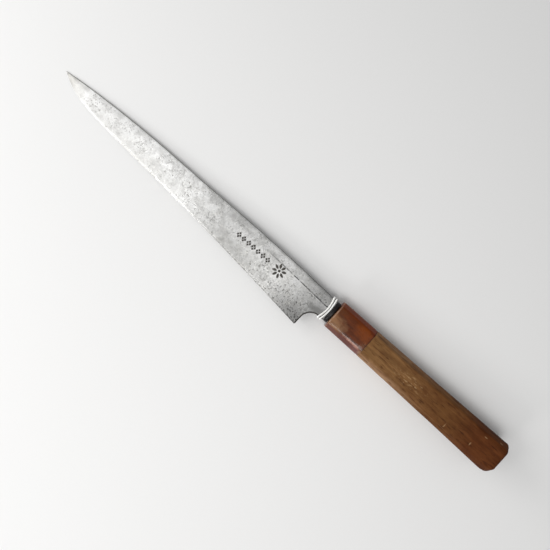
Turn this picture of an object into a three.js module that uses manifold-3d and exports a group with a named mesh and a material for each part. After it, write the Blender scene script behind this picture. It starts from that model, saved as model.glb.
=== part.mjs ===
// A long, narrow slicing knife: a forged steel blade whose hidden tang is wedged into a two-part
// octagonal handle, with a dark horn collar at the neck and a doubled white cord tied round it.
//
// Units are millimetres. The knife lies on its side. Inside the group the frame is the handle's:
// x = 0 at the ferrule's front face, on the handle's long axis, +X towards the blade's tip,
// +Y towards the cutting edge and +Z up. The group is then moved so that the origin is the middle
// of the underside of the whole knife's bounding box.

import * as THREE from "three";
import { mergeVertices } from "three/addons/utils/BufferGeometryUtils.js";
import Module from "manifold-3d";

const wasm = await Module();
wasm.setup();

// ---- Driving dimensions ----------------------------------------------------------------------

// Blade, heel to tip
const BLADE_LENGTH = 210.0;
const HEEL_X = 13.9; // heel corner, ahead of the ferrule's front face
const HEEL_Y = 20.89; // heel corner, below the handle's axis
const TIP_X = HEEL_X + BLADE_LENGTH;
const TIP_Y = -1.35; // the tip stands a little on the spine's side of the axis
const SPINE_Y = -6.7; // back of the blade at the neck
const SPINE_SWELL = 0.95; // how far the back swells out between the neck and the curve
const SPINE_CURVE_X = 114; // from here the back curves down to the tip
const SPINE_CURVE_POWER = 2.5;
const EDGE_SLOPE = 0.07; // how fast the edge rises towards the tip, mm per mm
const EDGE_WEAR = 1.1; // hollow worn into the middle of the edge by whetting
const BELLY_X = 176.5; // from here the edge curves up to the tip
const BELLY_POWER = 3.7;

// Blade section, as half thicknesses
const SPINE_HALF_HEEL = 1.5;
const SPINE_HALF_TIP = 0.6;
const POINT_LENGTH = 9; // the last stretch, where the point thins out
const POINT_HALF = 0.28;
const LEDGE_SHARE = 0.244; // flat part below the back, as a share of the blade's height
const BEVEL_WIDTH_HEEL = 0.9; // sharpened strip along the edge, narrow at the heel
const BEVEL_WIDTH_TIP = 1.3;
const BEVEL_WIDENS_X = [115, 180];
const BEVEL_HALF_HEEL = 0.4;
const BEVEL_HALF_TIP = 0.22;
const EDGE_HALF = 0.07;
const SPINE_EASE = 0.35; // eased corners of the back

// Neck and heel notch
const NECK_BACK_X = 3.1; // where the neck's shoulders stop, just ahead of the collar
const NECK_UNDER_Y = 7.45;
const NECK_HALF = 1.5;
const NECK_FADE_X = 32; // the neck's full thickness has faded into the blade here
const NOTCH_RADIUS = 7.8;
const NOTCH_LEAN = 0.2; // how far the notch's heel side leans back
const HEEL_ROUND = 0.9; // worn corner between the notch and the edge

// Tang, as stations behind the ferrule's front face
const TANG_STATIONS = [
  { x: 6, height: 8.6, thick: 2.8 },
  { x: -45, height: 6.6, thick: 2.4 },
  { x: -94, height: 4.6, thick: 2.0 },
  { x: -98, height: 2.6, thick: 1.2 },
];

// Handle: ferrule and body share one taper
const HANDLE_LENGTH = 129.7;
const FERRULE_LENGTH = 26.2;
const HANDLE_FRONT = { width: 19.0, thick: 16.4, facetY: 3.0, facetZ: 4.3 };
const HANDLE_BUTT = { width: 22.3, thick: 18.8, facetY: 3.9, facetZ: 4.9 };
const WIDTH_POWER = 1.5; // the width grows slowly at first, the thickness evenly
const FERRULE_CHAMFER = 0.55;
const FERRULE_CORNER = 0.5; // setback of the softened long edges
const BODY_CORNER = 1.3;
const BUTT_ROUND = 2.7;
const BUTT_DRAW_IN = 2.5; // how much smaller the butt's flat end is, on every side
const BUTT_EASE = 1.6; // how far the butt's corner on the edge's side is also worn in
const BUTT_EASE_LENGTH = 6.5; // the stretch over which it wears in
const BUTT_EASE_Y = [2, 11]; // the wear starts at the first y and is full at the second
const BODY_RINGS = 5; // sections between the ferrule and the worn stretch

// Collar between the neck and the ferrule
const COLLAR = { back: 0.3, length: 2.5, height: 14.6, thick: 9.0, bevel: 0.6, centreY: 0.15 };

// Inside the handle
const FIT_GAP = 0.3; // left between neighbouring pieces
const BODY_FRONT_X = -FERRULE_LENGTH - FIT_GAP;
const MOUTH = { height: 10.8, thick: 5.2, depth: 4.2 }; // opening in the ferrule's front wall
const DOWEL = { radius: 6.2, length: 46 };
const DOWEL_SLOT = { height: 9.4, thick: 5.4 };
const WEDGE = { front: -6, back: -44, width: 6.4 };
const TANG_HOLE = { radius: 3.9, end: -104 };

// Cord round the neck
const CORD_RADIUS = 0.6;
// The two strands: x where they turn over the back and the underside, and how far they bow
// towards the ferrule across the faces
const STRANDS = [{ x: 6.3, bow: 1.3 }, { x: 4.5, bow: 0.95 }];
const CORD_GAP = 0.15;
const KNOT_X = 4.9;
const KNOT = { x: 1.7, y: 1.6, z: 0.95 }; // half sizes of the knot under the neck
const KNOT_BELOW_BACK = 2.6;
const KNOT_SPLIT = 0.1; // the strands' ends stop this far from the knot's middle

// ---- Small tools -----------------------------------------------------------------------------

const lerp = THREE.MathUtils.lerp;
const smooth = THREE.MathUtils.smoothstep;

// A closed three.js geometry as a solid that can be joined and cut.
function solid(geometry) {
  const bare = geometry.clone();
  bare.deleteAttribute("normal");
  bare.deleteAttribute("uv");
  const merged = mergeVertices(bare, 1e-4);
  return new wasm.Manifold(
    new wasm.Mesh({
      numProp: 3,
      vertProperties: new Float32Array(merged.attributes.position.array),
      triVerts: new Uint32Array(merged.index.array),
    }),
  );
}

// The solid's surface as a geometry again.
function surface(body) {
  const mesh = body.getMesh();
  const geometry = new THREE.BufferGeometry();
  geometry.setAttribute("position", new THREE.BufferAttribute(mesh.vertProperties, 3));
  geometry.setIndex(new THREE.BufferAttribute(mesh.triVerts, 1));
  geometry.computeVertexNormals();
  return geometry;
}

// Skins a row of rings and closes both ends. Each ring is a list of [x, y, z], all of one count,
// running anticlockwise seen from +X, and the rings are listed from -X to +X.
function loft(rings) {
  const count = rings[0].length;
  const positions = rings.flat(2);
  const index = [];
  for (let r = 0; r + 1 < rings.length; r += 1) {
    for (let i = 0; i < count; i += 1) {
      const a = r * count + i;
      const b = r * count + ((i + 1) % count);
      index.push(a, b, a + count, b, b + count, a + count);
    }
  }
  const last = (rings.length - 1) * count;
  for (let i = 1; i + 1 < count; i += 1) {
    index.push(0, i + 1, i);
    index.push(last, last + i, last + i + 1);
  }
  const geometry = new THREE.BufferGeometry();
  geometry.setAttribute("position", new THREE.Float32BufferAttribute(positions, 3));
  geometry.setIndex(index);
  return geometry;
}

// A ring of [y, z] points set up at one x.
const ringAt = (x, outline) => outline.map(([y, z]) => [x, y, z]);

// A box from its limits on each axis.
function boxBetween(x0, x1, y0, y1, z0, z1) {
  const box = new THREE.BoxGeometry(Math.abs(x1 - x0), y1 - y0, z1 - z0);
  return box.translate((x0 + x1) / 2, (y0 + y1) / 2, (z0 + z1) / 2);
}

// A round bar along X.
function barAlongX(radius, x0, x1, sides = 40) {
  const bar = new THREE.CylinderGeometry(radius, radius, Math.abs(x1 - x0), sides);
  return bar.rotateZ(Math.PI / 2).translate((x0 + x1) / 2, 0, 0);
}

// ---- Blade -----------------------------------------------------------------------------------

// The back of the blade: a slight swell from the neck, then a curve down to the tip.
function spineY(x) {
  const run = THREE.MathUtils.clamp(x / SPINE_CURVE_X, 0, 1);
  const swell = SPINE_SWELL * Math.sin(Math.PI * run);
  const t = Math.max(0, (x - SPINE_CURVE_X) / (TIP_X - SPINE_CURVE_X));
  return SPINE_Y - swell + (TIP_Y - SPINE_Y) * t ** SPINE_CURVE_POWER;
}

// The cutting edge: a straight run with a whetted hollow, then the belly up to the tip.
function edgeY(x) {
  const straight = HEEL_Y - EDGE_SLOPE * (x - HEEL_X);
  const run = THREE.MathUtils.clamp((x - HEEL_X) / (BELLY_X - HEEL_X), 0, 1);
  const worn = EDGE_WEAR * Math.sin(Math.PI * run);
  const atTip = HEEL_Y - EDGE_SLOPE * BLADE_LENGTH;
  const t = Math.max(0, (x - BELLY_X) / (TIP_X - BELLY_X));
  return straight - worn - (atTip - TIP_Y) * t ** BELLY_POWER;
}

// One section of the blade, as a loop of [y, z] points: down the lower face, back up the upper.
function bladeSection(x) {
  const run = THREE.MathUtils.clamp((x - HEEL_X) / BLADE_LENGTH, 0, 1);
  const point = smooth(x, TIP_X - POINT_LENGTH, TIP_X);
  const top = spineY(x);
  const bottom = Math.max(edgeY(x), top + 0.3);
  const height = bottom - top;
  const spineHalf = lerp(lerp(SPINE_HALF_HEEL, SPINE_HALF_TIP, run), POINT_HALF, point);
  const bevelHalf = Math.min(lerp(BEVEL_HALF_HEEL, BEVEL_HALF_TIP, run), spineHalf * 0.7);
  const edgeHalf = Math.min(EDGE_HALF, bevelHalf * 0.5);
  const ease = Math.min(SPINE_EASE, spineHalf * 0.35, height * 0.1);
  const ledgeY = top + height * LEDGE_SHARE;
  const widened = smooth(x, ...BEVEL_WIDENS_X);
  const bevelWidth = lerp(BEVEL_WIDTH_HEEL, BEVEL_WIDTH_TIP, widened);
  const bevelY = bottom - Math.min(bevelWidth, height * 0.3);
  const middleY = Math.min(NECK_UNDER_Y, lerp(ledgeY, bevelY, 0.6));
  const wedge = lerp(spineHalf, bevelHalf, (middleY - ledgeY) / (bevelY - ledgeY));
  const middleHalf = lerp(NECK_HALF * 0.97, wedge, smooth(x, NECK_BACK_X + 4, NECK_FADE_X));
  const upper = [
    [top, spineHalf - ease],
    [top + ease, spineHalf],
    [ledgeY, spineHalf * 0.99],
    [middleY, middleHalf],
    [bevelY, bevelHalf],
    [bottom, edgeHalf],
  ];
  const lower = upper.map(([y, z]) => [y, -z]);
  return [...lower, ...upper.reverse()];
}

// What is missing between the heel and the neck's underside, cut square through the blade.
function heelNotch() {
  const reach = 40;
  const lean = NOTCH_LEAN / (HEEL_Y - NECK_UNDER_Y);
  const sideX = (y) => HEEL_X - lean * (HEEL_Y - y);
  const arcStartY = NECK_UNDER_Y + NOTCH_RADIUS;
  const outline = new THREE.Shape();
  outline.moveTo(HEEL_X + HEEL_ROUND, reach);
  outline.absarc(
    HEEL_X + HEEL_ROUND, HEEL_Y - HEEL_ROUND, HEEL_ROUND, Math.PI / 2, Math.PI, false,
  );
  outline.lineTo(sideX(arcStartY), arcStartY);
  outline.absarc(sideX(arcStartY) - NOTCH_RADIUS, arcStartY, NOTCH_RADIUS, 0, -Math.PI / 2, true);
  outline.lineTo(-reach, NECK_UNDER_Y);
  outline.lineTo(-reach, reach);
  const cutter = new THREE.ExtrudeGeometry(outline, {
    depth: 10, bevelEnabled: false, curveSegments: 12,
  });
  return cutter.translate(0, 0, -5);
}

function tang() {
  const rings = TANG_STATIONS.map(({ x, height, thick }) => {
    const h = height / 2;
    const t = thick / 2;
    return ringAt(x, [[-h, -t], [h, -t], [h, t], [-h, t]]);
  });
  return loft(rings.reverse());
}

function bladeGeometry() {
  const stations = 58;
  const rings = [];
  for (let i = 0; i <= stations; i += 1) {
    const t = i / stations;
    const x = lerp(NECK_BACK_X, TIP_X, 1 - (1 - t) ** 1.35);
    rings.push(ringAt(x, bladeSection(x)));
  }
  const body = solid(loft(rings)).subtract(solid(heelNotch()));
  return surface(body.add(solid(tang())));
}

// ---- Handle ----------------------------------------------------------------------------------

// The handle's four section sizes at x, drawn in by inset on every side.
function handleSize(x, inset = 0) {
  const t = Math.max(0, -x / HANDLE_LENGTH);
  const shrink = inset * (2 - Math.SQRT2); // what a 45 degree facet's legs lose
  return {
    halfY: lerp(HANDLE_FRONT.width, HANDLE_BUTT.width, t ** WIDTH_POWER) / 2 - inset,
    halfZ: lerp(HANDLE_FRONT.thick, HANDLE_BUTT.thick, t) / 2 - inset,
    facetY: lerp(HANDLE_FRONT.facetY, HANDLE_BUTT.facetY, t) - shrink,
    facetZ: lerp(HANDLE_FRONT.facetZ, HANDLE_BUTT.facetZ, t) - shrink,
  };
}

// An octagon of those sizes as [y, z] points, with each corner softened by a short curve.
function octagon({ halfY, halfZ, facetY, facetZ }, setback) {
  const quarter = [[halfY, halfZ - facetZ], [halfY - facetY, halfZ]];
  const corners = [
    ...quarter,
    ...quarter.map(([y, z]) => [-y, z]).reverse(),
    ...quarter.map(([y, z]) => [-y, -z]),
    ...quarter.map(([y, z]) => [y, -z]).reverse(),
  ].map(([y, z]) => new THREE.Vector2(y, z));
  const outline = corners.flatMap((corner, i) => {
    const before = corners[(i + 7) % 8].clone().sub(corner).setLength(setback).add(corner);
    const after = corners[(i + 1) % 8].clone().sub(corner).setLength(setback).add(corner);
    return new THREE.QuadraticBezierCurve(before, corner, after).getPoints(3);
  });
  return outline.map((p) => [p.x, p.y]);
}

const handleRing = (x, inset, setback) => ringAt(x, octagon(handleSize(x, inset), setback));

function ferruleGeometry() {
  const outside = loft([
    handleRing(-FERRULE_LENGTH, 0, FERRULE_CORNER),
    handleRing(-FERRULE_CHAMFER, 0, FERRULE_CORNER),
    handleRing(0, FERRULE_CHAMFER, FERRULE_CORNER),
  ]);
  const bore = barAlongX(DOWEL.radius + FIT_GAP, -MOUTH.depth, -FERRULE_LENGTH - 1);
  const { height, thick } = MOUTH;
  const mouth = boxBetween(-MOUTH.depth - 1, 1, -height / 2, height / 2, -thick / 2, thick / 2);
  return surface(solid(outside).subtract(solid(bore)).subtract(solid(mouth)));
}

// The body's section at x, with the butt's last stretch worn in on the edge's side.
function bodyRing(x, inset = 0) {
  const late = Math.max(0, (BUTT_EASE_LENGTH - HANDLE_LENGTH - x) / BUTT_EASE_LENGTH);
  const worn = (y) => BUTT_EASE * late ** 2 * smooth(y, ...BUTT_EASE_Y);
  return handleRing(x, inset, BODY_CORNER).map(([px, y, z]) => [px, y - worn(y), z]);
}

function handleBodyGeometry() {
  const easeStart = -HANDLE_LENGTH + BUTT_EASE_LENGTH;
  const roundStart = -HANDLE_LENGTH + BUTT_ROUND;
  const easeSteps = 2;
  const roundSteps = 5;
  const rings = [];
  for (let i = 0; i < BODY_RINGS; i += 1) {
    rings.push(bodyRing(lerp(BODY_FRONT_X, easeStart, i / BODY_RINGS)));
  }
  for (let i = 0; i < easeSteps; i += 1) {
    rings.push(bodyRing(lerp(easeStart, roundStart, i / easeSteps)));
  }
  for (let i = 0; i <= roundSteps; i += 1) {
    const angle = (Math.PI / 2) * (i / roundSteps);
    const inset = BUTT_DRAW_IN * (1 - Math.cos(angle));
    rings.push(bodyRing(roundStart - BUTT_ROUND * Math.sin(angle), inset));
  }
  const dowelEnd = -MOUTH.depth - DOWEL.length;
  const bore = barAlongX(DOWEL.radius + FIT_GAP, BODY_FRONT_X + 1, dowelEnd - FIT_GAP);
  const tangHole = barAlongX(TANG_HOLE.radius, BODY_FRONT_X, TANG_HOLE.end, 28);
  return surface(solid(loft(rings.reverse())).subtract(solid(bore)).subtract(solid(tangHole)));
}

// The horn collar: an oval washer with eased rims and a slot for the tang.
function collarGeometry() {
  const { back, length, height, thick, bevel } = COLLAR;
  const oval = new THREE.Shape();
  oval.absellipse(0, 0, height / 2 - bevel, thick / 2 - bevel, 0, Math.PI * 2);
  const washer = new THREE.ExtrudeGeometry(oval, {
    depth: length - 2 * bevel,
    bevelEnabled: true,
    bevelThickness: bevel,
    bevelSize: bevel,
    bevelSegments: 3,
    curveSegments: 28,
  });
  // Drawn in Y and Z and grown along X
  const turn = new THREE.Matrix4().makeBasis(
    new THREE.Vector3(0, 1, 0), new THREE.Vector3(0, 0, 1), new THREE.Vector3(1, 0, 0),
  );
  washer.applyMatrix4(turn).translate(back + bevel, COLLAR.centreY, 0);
  const slotY = TANG_STATIONS[0].height / 2 + FIT_GAP;
  const slotZ = TANG_STATIONS[0].thick / 2 + FIT_GAP;
  const slot = boxBetween(-1, length + 1, -slotY, slotY, -slotZ, slotZ);
  return surface(solid(washer).subtract(solid(slot)));
}

// ---- Inside the handle -----------------------------------------------------------------------

// Half the tang's thickness at x, read off its stations.
function tangHalf(x) {
  const behind = TANG_STATIONS.findIndex((s) => s.x <= x);
  const [from, to] = [TANG_STATIONS[behind - 1], TANG_STATIONS[behind]];
  return lerp(from.thick, to.thick, (from.x - x) / (from.x - to.x)) / 2;
}

// Pine pitch that closes the ferrule's mouth round the tang.
function mouthSealGeometry() {
  const y = MOUTH.height / 2 - FIT_GAP;
  const z = MOUTH.thick / 2 - FIT_GAP;
  const plug = boxBetween(-MOUTH.depth + FIT_GAP, -FIT_GAP, -y, y, -z, z);
  const slotY = TANG_STATIONS[0].height / 2 + FIT_GAP;
  const slotZ = TANG_STATIONS[0].thick / 2 + FIT_GAP;
  const slot = boxBetween(-MOUTH.depth - 1, 1, -slotY, slotY, -slotZ, slotZ);
  return surface(solid(plug).subtract(solid(slot)));
}

// The hardwood dowel that joins ferrule and body, slotted right through for the tang.
function dowelGeometry() {
  const front = -MOUTH.depth - FIT_GAP;
  const back = -MOUTH.depth - DOWEL.length;
  const { height, thick } = DOWEL_SLOT;
  const slot = boxBetween(back - 1, front + 1, -height / 2, height / 2, -thick / 2, thick / 2);
  return surface(solid(barAlongX(DOWEL.radius, front, back)).subtract(solid(slot)));
}

// A thin wooden wedge between the tang's face and the dowel's slot. side is 1 above, -1 below.
function wedgeGeometry(side) {
  const wall = DOWEL_SLOT.thick / 2 - FIT_GAP / 2;
  const half = WEDGE.width / 2;
  const rings = [WEDGE.back, WEDGE.front].map((x) => {
    const face = tangHalf(x) + FIT_GAP / 2;
    const near = side * face;
    const far = side * wall;
    const [low, high] = near < far ? [near, far] : [far, near];
    return ringAt(x, [[-half, low], [half, low], [half, high], [-half, high]]);
  });
  return loft(rings);
}

// ---- Cord ------------------------------------------------------------------------------------

// One strand's way round the neck, from the knot back to the knot. It follows the neck's section
// at a small distance, and bows towards the ferrule across both faces.
function strandCurve({ x, bow }) {
  const out = CORD_RADIUS + CORD_GAP;
  const backY = spineY(x);
  const knotY = backY + KNOT_BELOW_BACK;
  const bowAt = (y) => {
    const t = THREE.MathUtils.clamp((y - backY) / (NECK_UNDER_Y - backY), 0, 1);
    return bow * Math.sin(Math.PI * t);
  };
  const route = [[knotY - KNOT_SPLIT, -NECK_HALF - out]];
  const addTurn = (cornerY, cornerZ, fromDegrees) => {
    for (const step of [0, 30, 60, 90]) {
      const angle = THREE.MathUtils.degToRad(fromDegrees - step);
      route.push([cornerY + out * Math.cos(angle), cornerZ + out * Math.sin(angle)]);
    }
  };
  addTurn(backY, -NECK_HALF, 270);
  addTurn(backY, NECK_HALF, 180);
  for (const share of [0.2, 0.4, 0.6, 0.8]) {
    route.push([lerp(backY, NECK_UNDER_Y, share), NECK_HALF + out]);
  }
  addTurn(NECK_UNDER_Y, NECK_HALF, 90);
  addTurn(NECK_UNDER_Y, -NECK_HALF, 0);
  for (const share of [0.8, 0.6, 0.4]) {
    route.push([lerp(backY, NECK_UNDER_Y, share), -NECK_HALF - out]);
  }
  route.push([knotY + KNOT_SPLIT, -NECK_HALF - out]);
  const points = route.map(([y, z]) => new THREE.Vector3(x - bowAt(y), y, z));
  return new THREE.CatmullRomCurve3(points, false, "centripetal");
}

function neckCordGeometry() {
  const section = new THREE.Shape();
  section.absarc(0, 0, CORD_RADIUS, 0, Math.PI * 2);
  const strands = STRANDS.map((strand) => solid(new THREE.ExtrudeGeometry(section, {
    steps: 48, curveSegments: 4, extrudePath: strandCurve(strand),
  })));
  const knot = new THREE.SphereGeometry(1, 20, 12).scale(KNOT.x, KNOT.y, KNOT.z);
  knot.translate(KNOT_X, spineY(KNOT_X) + KNOT_BELOW_BACK, -NECK_HALF - CORD_GAP - KNOT.z);
  return surface(strands[0].add(strands[1]).add(solid(knot)));
}

// ---- Assembly --------------------------------------------------------------------------------

const steel = { color: 0xa6a6a2, roughness: 0.42, metalness: 0.9 };
const blackHorn = { color: 0x1d1b1a, roughness: 0.35, metalness: 0 };
const amberHorn = { color: 0x6b331a, roughness: 0.28, metalness: 0 };
const agedWood = { color: 0x6a4427, roughness: 0.65, metalness: 0 };
const paleWood = { color: 0xb08a5c, roughness: 0.75, metalness: 0 };
const pitch = { color: 0x241408, roughness: 0.4, metalness: 0 };
const cotton = { color: 0xe9e7e0, roughness: 0.9, metalness: 0 };

const knife = new THREE.Group();

function addPart(name, geometry, look) {
  const mesh = new THREE.Mesh(geometry, new THREE.MeshStandardMaterial(look));
  mesh.name = name;
  knife.add(mesh);
}

addPart("blade", bladeGeometry(), steel);
addPart("neck_collar", collarGeometry(), blackHorn);
addPart("ferrule", ferruleGeometry(), amberHorn);
addPart("handle_body", handleBodyGeometry(), agedWood);
addPart("core_dowel", dowelGeometry(), paleWood);
addPart("tang_wedge_upper", wedgeGeometry(1), paleWood);
addPart("tang_wedge_lower", wedgeGeometry(-1), paleWood);
addPart("mouth_seal", mouthSealGeometry(), pitch);
addPart("neck_cord", neckCordGeometry(), cotton);

// Stand the knife with the middle of its bounding box's underside at the origin
const bounds = new THREE.Box3().setFromObject(knife);
const middle = bounds.getCenter(new THREE.Vector3());
knife.position.set(-middle.x, -middle.y, -bounds.min.z);

export default knife;
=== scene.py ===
"""Slicing knife with an octagonal wooden handle, lying on its side on a pale table.

Shapes are worked out in millimetres in the handle's own frame: x = 0 at the ferrule's front face,
on the handle's long axis, +x towards the blade's tip, +y towards the cutting edge and +z up.
place() turns them into the frame's metres.
"""

import math

import bmesh
import bpy
from mathutils import Matrix, Vector, noise


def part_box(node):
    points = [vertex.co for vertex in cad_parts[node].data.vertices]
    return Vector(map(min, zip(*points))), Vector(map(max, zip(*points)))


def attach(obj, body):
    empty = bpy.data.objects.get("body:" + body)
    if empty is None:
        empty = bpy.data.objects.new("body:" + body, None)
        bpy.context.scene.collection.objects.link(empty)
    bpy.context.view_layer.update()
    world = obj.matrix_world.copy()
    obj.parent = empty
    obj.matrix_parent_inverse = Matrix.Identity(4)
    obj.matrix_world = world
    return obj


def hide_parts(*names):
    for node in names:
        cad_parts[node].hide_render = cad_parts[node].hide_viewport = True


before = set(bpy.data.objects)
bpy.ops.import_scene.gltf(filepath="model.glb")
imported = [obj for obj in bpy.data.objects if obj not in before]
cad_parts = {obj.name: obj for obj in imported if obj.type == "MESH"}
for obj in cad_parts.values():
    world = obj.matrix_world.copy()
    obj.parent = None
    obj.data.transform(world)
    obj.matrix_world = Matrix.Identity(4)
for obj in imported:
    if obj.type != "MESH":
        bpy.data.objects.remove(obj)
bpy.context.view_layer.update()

MM = 0.001

# ---- The handle's frame, read off the CAD boxes ----------------------------------------------

ferrule_low, ferrule_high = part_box("ferrule")
body_low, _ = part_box("handle_body")
ORIGIN = Vector((
    ferrule_high[0],
    (ferrule_low[1] + ferrule_high[1]) / 2,
    (ferrule_low[2] + ferrule_high[2]) / 2,
))
FERRULE_LENGTH = (ferrule_high[0] - ferrule_low[0]) / MM
FERRULE_SEAM_X = -FERRULE_LENGTH
BUTT_X = (body_low[0] - ORIGIN.x) / MM
HANDLE_LENGTH = -BUTT_X

# ---- Driving sizes, in millimetres -----------------------------------------------------------

# Blade outline
BLADE_LENGTH = 210.0
HEEL_X = 13.9
HEEL_Y = 20.89
TIP_X = HEEL_X + BLADE_LENGTH
TIP_Y = -1.35
SPINE_Y = -6.7
SPINE_SWELL = 0.95
SPINE_CURVE_X = 114
SPINE_CURVE_POWER = 2.5
EDGE_SLOPE = 0.07
EDGE_WEAR = 1.1
BELLY_X = 176.5
BELLY_POWER = 3.7

# Blade section, its thicknesses as halves, then the neck and the notch behind the heel
SPINE_HALF_HEEL = 1.5
SPINE_HALF_TIP = 0.6
POINT_LENGTH = 9
POINT_HALF = 0.28
LEDGE_SHARE = 0.244
LEDGE_DROP = 0.05
LEDGE_WIDTH = 0.5
LEDGE_FADES_X = (HEEL_X + 8, 42)
GRIND_POWER = 1.12
LEAST_HEIGHT = 0.3
BEVEL_WIDTH_HEEL = 0.9
BEVEL_WIDTH_TIP = 1.3
BEVEL_WIDENS_X = (115, 180)
BEVEL_HALF_HEEL = 0.4
BEVEL_HALF_TIP = 0.22
EDGE_HALF = 0.07
SPINE_EASE = 0.5
NECK_BACK_X = 3.1
NECK_UNDER_Y = 7.45
NECK_HALF = 1.5
NECK_FADE_X = 32
NOTCH_RADIUS = 7.8
NOTCH_LEAN = 0.2
HEEL_ROUND = 0.9
NOTCH_RIM = 1.0
NOTCH_RIM_DEPTH = 0.3

# Punched marks: a row of diamonds, each of four lozenges, and a rosette
MARK_DEPTH = 0.13
DIAMONDS = 7
DIAMOND_FIRST_X = 75.3
DIAMOND_PITCH = 3.9
DIAMOND_Y = 2.7
ROSETTE_AT = (42.2, 3.0)
ROSETTE_PETALS = 8

# Tang sections from the neck backwards: x, height, thickness
TANG = [(6, 8.6, 2.8), (-45, 6.6, 2.4), (-94, 4.6, 2.0), (-98, 2.6, 1.2)]

# Handle sections: half width, half thickness, and the slanted facet's two legs
SECTION_FRONT = (9.5, 8.2, 3.0, 4.3)
SECTION_BUTT = (11.15, 9.4, 3.9, 4.9)
WIDTH_POWER = 1.5
FERRULE_CHAMFER = 0.55
FERRULE_CORNER = 1.1
FERRULE_SEAM_WEAR = 0.12
BODY_SEAM_WEAR = 0.1
SEAM_WEAR_LENGTH = 0.4
BODY_CORNER = 1.3
BUTT_CORNER = 0.6
BUTT_ROUND = 2.7
BUTT_DRAW_IN = 2.5
BUTT_EASE = 1.6
BUTT_EASE_LENGTH = 6.5
BUTT_EASE_Y = (2, 11)
END_FACE_INSETS = (4.2, 5.6)
TANG_HOLE_RADIUS = 3.9
TANG_HOLE_END_X = -104

# Collar, cord and the fit of the pieces. A strand is x at the back and how far it bows
COLLAR_HEIGHT = 14.6
COLLAR_THICK = 9.0
COLLAR_Y = 0.15
COLLAR_ROUND = 0.45
CORD_RADIUS = 0.6
CORD_STEP = 0.22
STRANDS = ((6.3, 1.3), (4.5, 0.95))
CORD_GAP = 0.15
KNOT_X = 4.9
KNOT_BELOW_BACK = 2.6
KNOT_ABOVE_LOWEST = 0.75
KNOT_SIZE = (1.5, 1.3, 0.4)
FIT_GAP = 0.3
SEAM_GAP = 0.06

# How far a cutting shape reaches past what it cuts
OVERCUT = 1


# ---- Small tools -----------------------------------------------------------------------------

def lerp(a, b, t):
    return a + (b - a) * t


def clamp(value, low=0.0, high=1.0):
    return max(low, min(high, value))


def smooth(value, low, high):
    t = clamp((value - low) / (high - low))
    return t * t * (3 - 2 * t)


def place(x, y, z):
    """A point of the handle's frame, in millimetres, as a point of the frame, in metres."""
    return ORIGIN + Vector((x, y, z)) * MM


def handle_x(x):
    """An x of the frame, in metres, in the handle's frame and millimetres."""
    return (x - ORIGIN.x) / MM


def full_turn(steps):
    """The angles of even steps round a circle."""
    return [2 * math.pi * i / steps for i in range(steps)]


def wobble(x, y, z, size, seed):
    """Smooth noise between about -1 and 1 with lumps of the given size in millimetres."""
    return noise.noise(Vector((x / size + seed, y / size, z / size)))


def new_object(name, mesh):
    obj = bpy.data.objects.new(name, mesh)
    bpy.context.scene.collection.objects.link(obj)
    return obj


def mesh_object(name, points, faces):
    mesh = bpy.data.meshes.new(name)
    mesh.from_pydata([tuple(place(*p)) for p in points], [], faces)
    mesh.validate()
    return new_object(name, mesh)


def skin(rings):
    """Points and faces of a skin over rings of equal count, closed at both ends."""
    count = len(rings[0])
    points = [p for ring in rings for p in ring]
    faces = []
    for r in range(len(rings) - 1):
        for i in range(count):
            a = r * count + i
            b = r * count + (i + 1) % count
            faces.append((a, b, b + count, a + count))
    last = (len(rings) - 1) * count
    faces.append(tuple(range(count))[::-1])
    faces.append(tuple(range(last, last + count)))
    return points, faces


def prism(outline, low, high):
    """Points and faces of an upright prism over an [x, y] outline."""
    count = len(outline)
    points = [(x, y, low) for x, y in outline] + [(x, y, high) for x, y in outline]
    faces = [tuple(range(count))[::-1], tuple(range(count, 2 * count))]
    for i in range(count):
        j = (i + 1) % count
        faces.append((i, j, j + count, i + count))
    return points, faces


def joined(shapes):
    """Several (points, faces) shapes as one."""
    points, faces = [], []
    for shape_points, shape_faces in shapes:
        start = len(points)
        points += shape_points
        faces += [tuple(i + start for i in face) for face in shape_faces]
    return points, faces


def box_shape(x0, x1, y0, y1, z0, z1):
    return prism([(x0, y0), (x1, y0), (x1, y1), (x0, y1)], z0, z1)


def bar_shape(radius, x0, x1, sides=40):
    rings = []
    for x in (x0, x1):
        rings.append([(x, radius * math.cos(a), radius * math.sin(a)) for a in full_turn(sides)])
    return skin(rings)


def boolean(obj, shape, operation, material=None):
    """Joins a shape to an object or cuts it away, for good."""
    tool = mesh_object(obj.name + "_tool", *shape)
    fix_normals(tool)
    if material:
        tool.data.materials.append(material)
    step = obj.modifiers.new("boolean", "BOOLEAN")
    step.operation = operation
    step.solver = "EXACT"
    step.object = tool
    if material:
        step.material_mode = "TRANSFER"
    graph = bpy.context.evaluated_depsgraph_get()
    result = bpy.data.meshes.new_from_object(obj.evaluated_get(graph))
    obj.modifiers.clear()
    obj.data = result
    bpy.data.objects.remove(tool)


def fix_normals(obj):
    bm = bmesh.new()
    bm.from_mesh(obj.data)
    bmesh.ops.recalc_face_normals(bm, faces=bm.faces)
    bm.to_mesh(obj.data)
    bm.free()


def shade(obj, angle):
    """Smooth shading that keeps edges sharper than the angle."""
    mesh = obj.data
    mesh.shade_smooth()
    bm = bmesh.new()
    bm.from_mesh(mesh)
    for edge in bm.edges:
        edge.smooth = not edge.is_manifold or edge.calc_face_angle(0) < math.radians(angle)
    bm.to_mesh(mesh)
    bm.free()


def finish_piece(obj, node, material):
    """Gives a piece its material and puts it in its CAD node's place."""
    obj.data.materials.clear()
    obj.data.materials.append(material)
    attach(obj, "root")
    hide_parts(node)


# ---- Shader tools ----------------------------------------------------------------------------

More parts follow.
